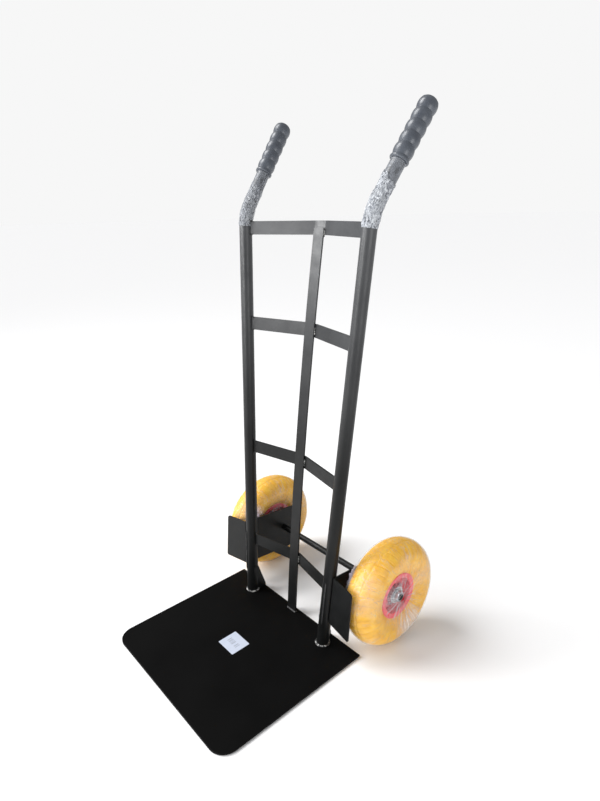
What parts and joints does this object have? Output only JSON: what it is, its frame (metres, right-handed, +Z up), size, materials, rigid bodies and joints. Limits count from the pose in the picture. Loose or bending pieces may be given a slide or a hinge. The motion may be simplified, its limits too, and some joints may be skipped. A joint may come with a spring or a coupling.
{
  "type": "hand truck",
  "caption": "Two-wheel hand truck with a flat toe plate, spread upright tubes, vee crossbars, a centre bar, bent-back handles with rubber grips and foam tyres.",
  "frame": {"origin": "on the floor, on the centre line, directly below the feet of the two upright tubes, in the plane of the toe plate's underside", "axes": "+X is the truck's right, +Y points to the rear, from the toe plate's lip towards the wheels, +Z is up"},
  "size_m": [0.5324, 0.619, 1.1798],
  "materials": {
    "plate_black": "matte",
    "frame_black": "satin",
    "axle_black": "satin",
    "sticker_paper": "satin",
    "grip_rubber": "matte",
    "tyre_foam": "satin",
    "rim_red": "gloss",
    "zinc_hardware": "satin",
    "bearing_steel": "polished",
    "hub_steel": "satin"
  },
  "bodies": {
    "frame": {"axle_rod": "axle_black", "center_bar": "frame_black", "left_axle_nut": "zinc_hardware", "left_axle_spacer": "axle_black", "left_foot_gusset": "frame_black", "left_grip": "grip_rubber", "left_inner_axle_washer": "zinc_hardware", "left_inner_bearing_inner_race": "bearing_steel", "left_outer_axle_washer": "zinc_hardware", "left_outer_bearing_inner_race": "bearing_steel", "left_upright_tube": "frame_black", "left_wheel_bracket": "frame_black", "lower_crossbar": "frame_black", "middle_crossbar": "frame_black", "right_axle_nut": "zinc_hardware", "right_axle_spacer": "axle_black", "right_foot_gusset": "frame_black", "right_grip": "grip_rubber", "right_inner_axle_washer": "zinc_hardware", "right_inner_bearing_inner_race": "bearing_steel", "right_outer_axle_washer": "zinc_hardware", "right_outer_bearing_inner_race": "bearing_steel", "right_upright_tube": "frame_black", "right_wheel_bracket": "frame_black", "sticker": "sticker_paper", "toe_plate": "plate_black", "top_crossbar": "frame_black", "upper_crossbar": "frame_black"},
    "left_wheel": {"left_hub": "hub_steel", "left_inner_bearing_balls": "bearing_steel", "left_inner_bearing_outer_race": "bearing_steel", "left_inner_rim": "rim_red", "left_outer_bearing_balls": "bearing_steel", "left_outer_bearing_outer_race": "bearing_steel", "left_outer_rim": "rim_red", "left_rim_bolts": "zinc_hardware", "left_rim_nuts": "zinc_hardware", "left_tyre": "tyre_foam"},
    "right_wheel": {"right_hub": "hub_steel", "right_inner_bearing_balls": "bearing_steel", "right_inner_bearing_outer_race": "bearing_steel", "right_inner_rim": "rim_red", "right_outer_bearing_balls": "bearing_steel", "right_outer_bearing_outer_race": "bearing_steel", "right_outer_rim": "rim_red", "right_rim_bolts": "zinc_hardware", "right_rim_nuts": "zinc_hardware", "right_tyre": "tyre_foam"}
  },
  "joints": [
    {"name": "left_wheel_spin", "type": "hinge", "parent": "frame", "child": "left_wheel", "pos_m": [-0.224, 0.136, 0.13], "axis": [1, 0, 0], "continuous": true},
    {"name": "right_wheel_spin", "type": "hinge", "parent": "frame", "child": "right_wheel", "pos_m": [0.224, 0.136, 0.13], "axis": [1, 0, 0], "continuous": true}
  ]
}
